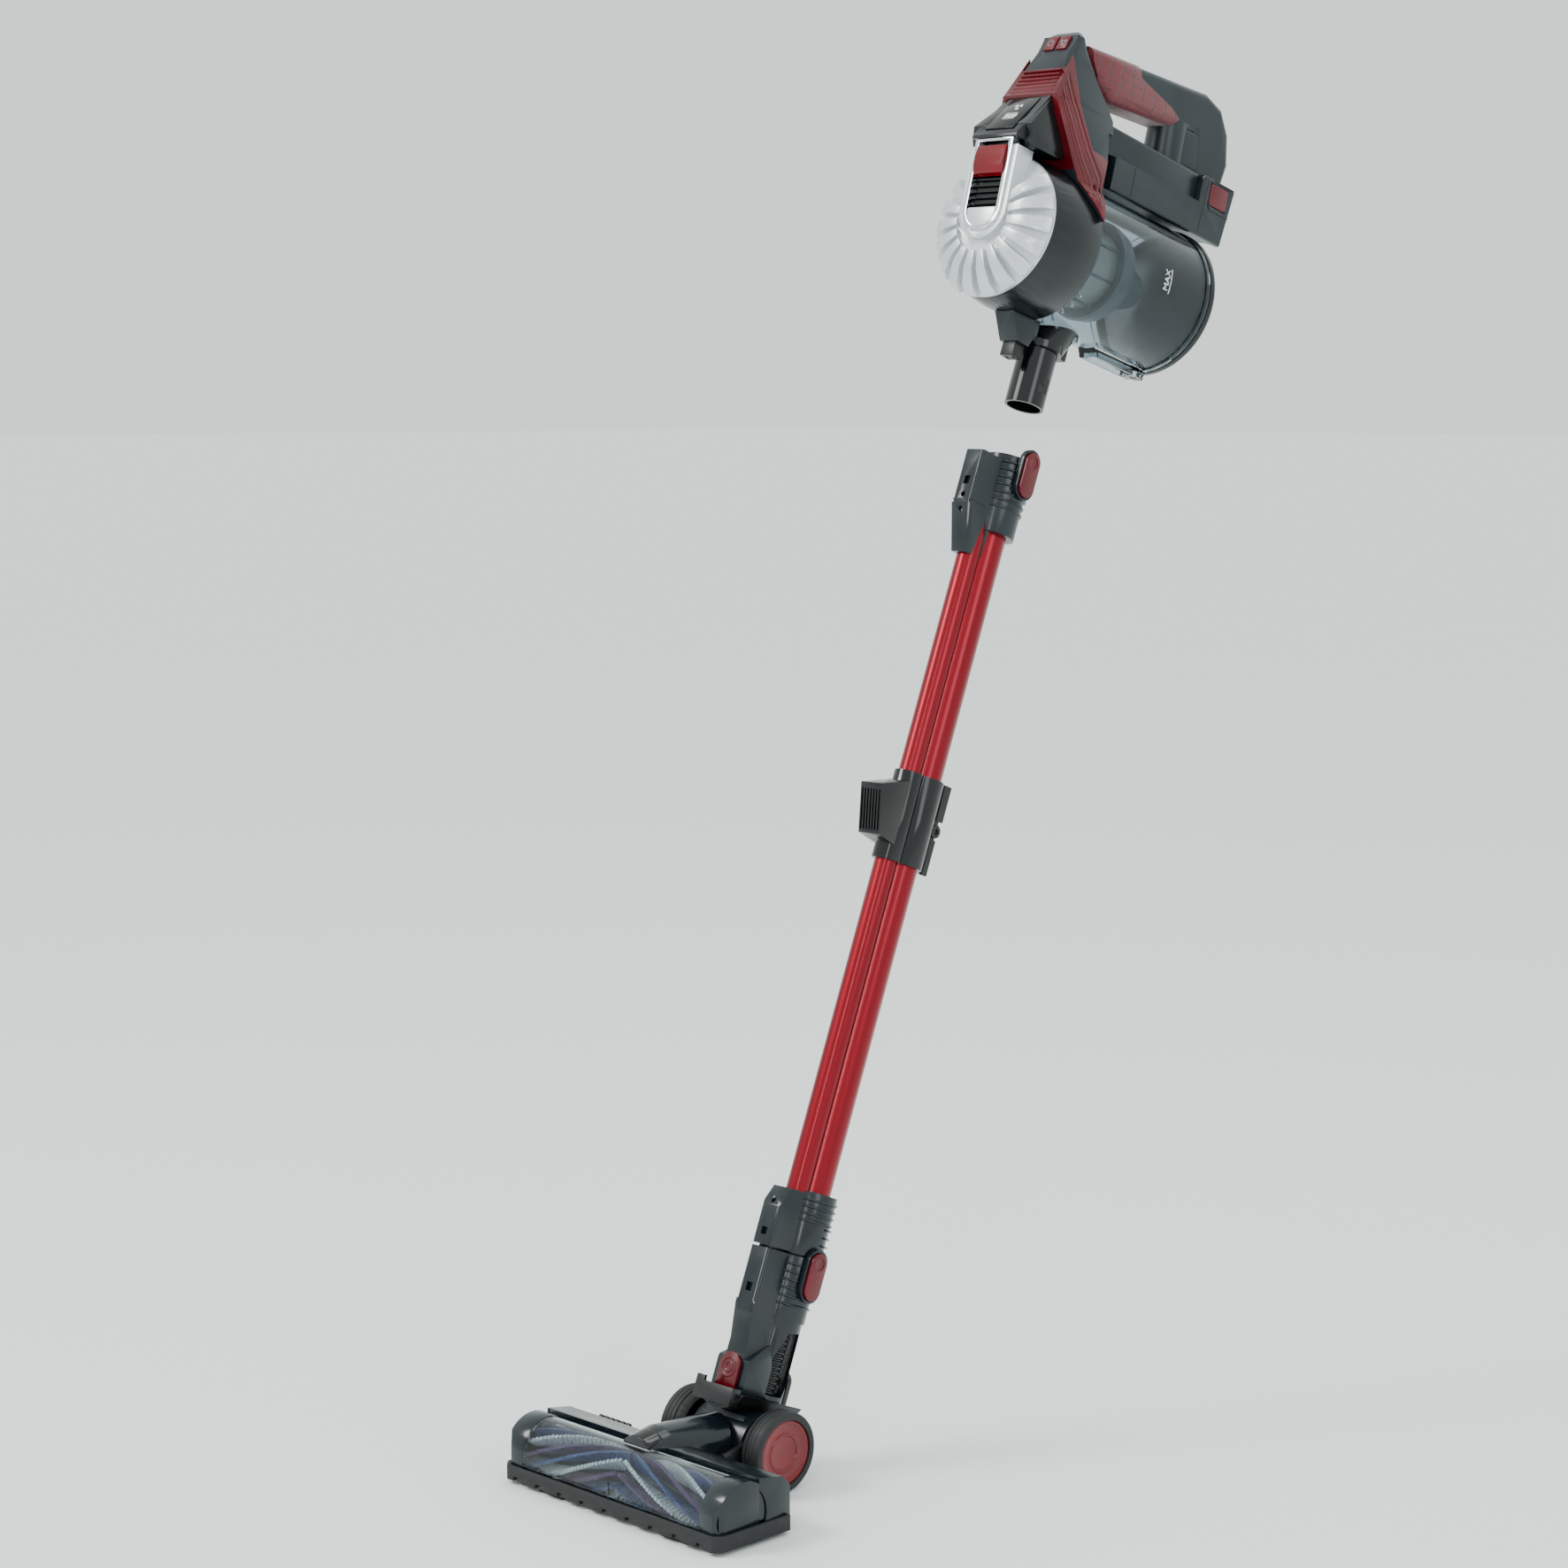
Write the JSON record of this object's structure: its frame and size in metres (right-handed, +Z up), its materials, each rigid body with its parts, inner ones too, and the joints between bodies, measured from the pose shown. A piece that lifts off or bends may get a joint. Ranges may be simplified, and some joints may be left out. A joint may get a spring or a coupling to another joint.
{
  "type": "cordless stick vacuum",
  "caption": "Upright cordless stick vacuum: barrel hand unit with clear dust bin and slide-in battery, lift-off tube wand, pivoting neck and wheeled floor head with brush roller.",
  "frame": {"origin": "middle of the handle grip, on the machine's middle plane", "axes": "+Z up with the floor head flat on the floor, -Y to the front of the floor head, +X to the right seen from behind"},
  "size_m": [0.2448, 0.721, 1.1433],
  "materials": {
    "slate_plastic": "satin moulded ABS",
    "black_plastic": "fine-grained black moulding",
    "crimson_plastic": "satin crimson moulding",
    "crimson_grip": "soft textured elastomer",
    "silver_paint": "metallic silver paint over ABS",
    "lens_black": "polished black acrylic",
    "chrome_trim": "bright chrome plating",
    "display_glass": "polished black acrylic",
    "smoke_clear": "smoky clear polycarbonate",
    "window_clear": "clear polycarbonate",
    "red_anodised": "red anodised, fine drawn lines",
    "end_grey": "polished dark grey",
    "mesh_steel": "fine woven filter mesh",
    "motor_metal": "plain cast and turned metal",
    "steel": "turned steel",
    "board_green": "glass-fibre board",
    "cable_black": "insulated wire",
    "roller_core": "moulded core",
    "bristle_nylon": "tufted nylon and felt",
    "tyre_rubber": "soft rubber"
  },
  "bodies": {
    "hand_unit": {"motor_casing": "slate_plastic", "suction_motor": "motor_metal", "arch_shell_left": "slate_plastic", "arch_shell_right": "slate_plastic", "ribbed_band": "crimson_plastic", "display_housing": "black_plastic", "display_glass": "display_glass", "lower_arm": "slate_plastic", "handle_shell": "slate_plastic", "grip_cover": "crimson_grip", "control_board": "board_green", "nozzle_elbow": "black_plastic", "nozzle_bracket": "slate_plastic", "nozzle_plug": "black_plastic"},
    "impeller": {"impeller": "black_plastic"},
    "front_cover": {"front_cover": "silver_paint", "chrome_bezel": "chrome_trim"},
    "cover_latch": {"cover_latch": "crimson_plastic"},
    "power_button": {"power_button": "crimson_plastic"},
    "boost_button": {"boost_button": "crimson_plastic"},
    "battery": {"battery_case": "slate_plastic", "battery_cells": "motor_metal"},
    "battery_button_left": {"battery_button_left": "crimson_plastic"},
    "battery_button_right": {"battery_button_right": "crimson_plastic"},
    "bin": {"bin_shell": "smoke_clear", "cyclone_body": "black_plastic", "cyclone_mesh": "mesh_steel"},
    "bin_lid": {"bin_lid": "black_plastic"},
    "lid_catch": {"lid_catch": "black_plastic"},
    "wand": {"upper_coupling": "slate_plastic", "wand_tube": "red_anodised", "wand_cable": "cable_black", "accessory_holder": "black_plastic", "holder_clamp": "black_plastic", "lower_coupling": "slate_plastic"},
    "upper_release_button": {"upper_release_button": "crimson_plastic"},
    "neck": {"neck_housing": "slate_plastic", "neck_hose": "black_plastic", "pivot_cap": "crimson_plastic"},
    "lower_release_button": {"lower_release_button": "crimson_plastic"},
    "yoke": {"swivel_cradle": "black_plastic", "yoke_hub": "black_plastic"},
    "head": {"head_chassis": "black_plastic", "head_cover": "slate_plastic", "led_lens": "lens_black", "brush_window": "window_clear", "end_cap_left": "end_grey", "end_cap_right": "end_grey", "front_lip": "black_plastic", "brush_bearings": "steel", "brush_motor": "motor_metal", "drive_belt": "cable_black", "wheel_axle": "steel"},
    "brush": {"brush_roller": "roller_core", "brush_bristles": "bristle_nylon"},
    "motor_pulley": {"motor_pulley": "steel"},
    "wheel_left": {"tyre_left": "tyre_rubber", "hub_left": "crimson_plastic"},
    "wheel_right": {"tyre_right": "tyre_rubber", "hub_right": "crimson_plastic"}
  },
  "joints": [
    {"name": "impeller_spin", "type": "hinge", "parent": "hand_unit", "child": "impeller", "pos_m": [0, -0.13001, -0.12891], "axis": [0, 0.9605, -0.2783], "continuous": true},
    {"name": "front_cover_pull", "type": "slide", "parent": "hand_unit", "child": "front_cover", "axis": [0, -0.9605, 0.2783], "range_m": [0, 0.06]},
    {"name": "cover_latch_slide", "type": "slide", "parent": "front_cover", "child": "cover_latch", "axis": [0, -0.2783, -0.9605], "range_m": [0, 0.006], "stiffness_N_per_m": 250, "springref_m": -0.001},
    {"name": "power_press", "type": "slide", "parent": "hand_unit", "child": "power_button", "axis": [0, 0.7884, -0.6151], "range_m": [0, 0.0015], "stiffness_N_per_m": 600, "springref_m": -0.0004},
    {"name": "boost_press", "type": "slide", "parent": "hand_unit", "child": "boost_button", "axis": [0, 0.7884, -0.6151], "range_m": [0, 0.0015], "stiffness_N_per_m": 600, "springref_m": -0.0004},
    {"name": "battery_slide", "type": "slide", "parent": "hand_unit", "child": "battery", "axis": [0, 0.9605, -0.2783], "range_m": [0, 0.16]},
    {"name": "battery_button_left_press", "type": "slide", "parent": "battery", "child": "battery_button_left", "axis": [1, 0, 0], "range_m": [0, 0.0018], "stiffness_N_per_m": 600},
    {"name": "battery_button_right_press", "type": "slide", "parent": "battery", "child": "battery_button_right", "axis": [-1, 0, 0], "range_m": [0, 0.0018], "stiffness_N_per_m": 600},
    {"name": "bin_slide", "type": "slide", "parent": "hand_unit", "child": "bin", "axis": [0, 0.9605, -0.2783], "range_m": [0, 0.12]},
    {"name": "bin_lid_hinge", "type": "hinge", "parent": "bin", "child": "bin_lid", "pos_m": [0, 0.00716, -0.23758], "axis": [-1, 0, 0], "range_deg": [0, 80]},
    {"name": "lid_catch_slide", "type": "slide", "parent": "bin", "child": "lid_catch", "axis": [1, 0, 0], "range_m": [0, 0.0066], "stiffness_N_per_m": 200, "springref_m": -0.0005},
    {"name": "wand_slide", "type": "slide", "parent": "hand_unit", "child": "wand", "axis": [0, 0.3691, 0.9294], "range_m": [0, 0.0964]},
    {"name": "upper_release_press", "type": "slide", "parent": "wand", "child": "upper_release_button", "axis": [-1, 0, 0], "range_m": [0, 0.0018], "stiffness_N_per_m": 600},
    {"name": "neck_slide", "type": "slide", "parent": "wand", "child": "neck", "axis": [0, -0.3691, -0.9294], "range_m": [0, 0.06]},
    {"name": "lower_release_press", "type": "slide", "parent": "neck", "child": "lower_release_button", "axis": [-1, 0, 0], "range_m": [0, 0.0018], "stiffness_N_per_m": 600},
    {"name": "neck_swivel", "type": "hinge", "parent": "neck", "child": "yoke", "pos_m": [0, -0.43895, -1.02547], "axis": [0, 0.9294, -0.3691], "range_deg": [-30, 30]},
    {"name": "head_pitch", "type": "hinge", "parent": "yoke", "child": "head", "pos_m": [0, -0.46848, -1.06782], "axis": [1, 0, 0], "range_deg": [-6, 55]},
    {"name": "brush_spin", "type": "hinge", "parent": "head", "child": "brush", "pos_m": [0, -0.57648, -1.07632], "axis": [1, 0, 0], "continuous": true},
    {"name": "motor_pulley_spin", "type": "hinge", "parent": "head", "child": "motor_pulley", "pos_m": [0, -0.53998, -1.07282], "axis": [1, 0, 0], "continuous": true},
    {"name": "wheel_left_roll", "type": "hinge", "parent": "head", "child": "wheel_left", "pos_m": [0, -0.46848, -1.06782], "axis": [1, 0, 0], "continuous": true},
    {"name": "wheel_right_roll", "type": "hinge", "parent": "head", "child": "wheel_right", "pos_m": [0, -0.46848, -1.06782], "axis": [1, 0, 0], "continuous": true}
  ],
  "couplings": [
    {"joint": "motor_pulley_spin", "follows": "brush_spin", "ratio": 2}
  ]
}
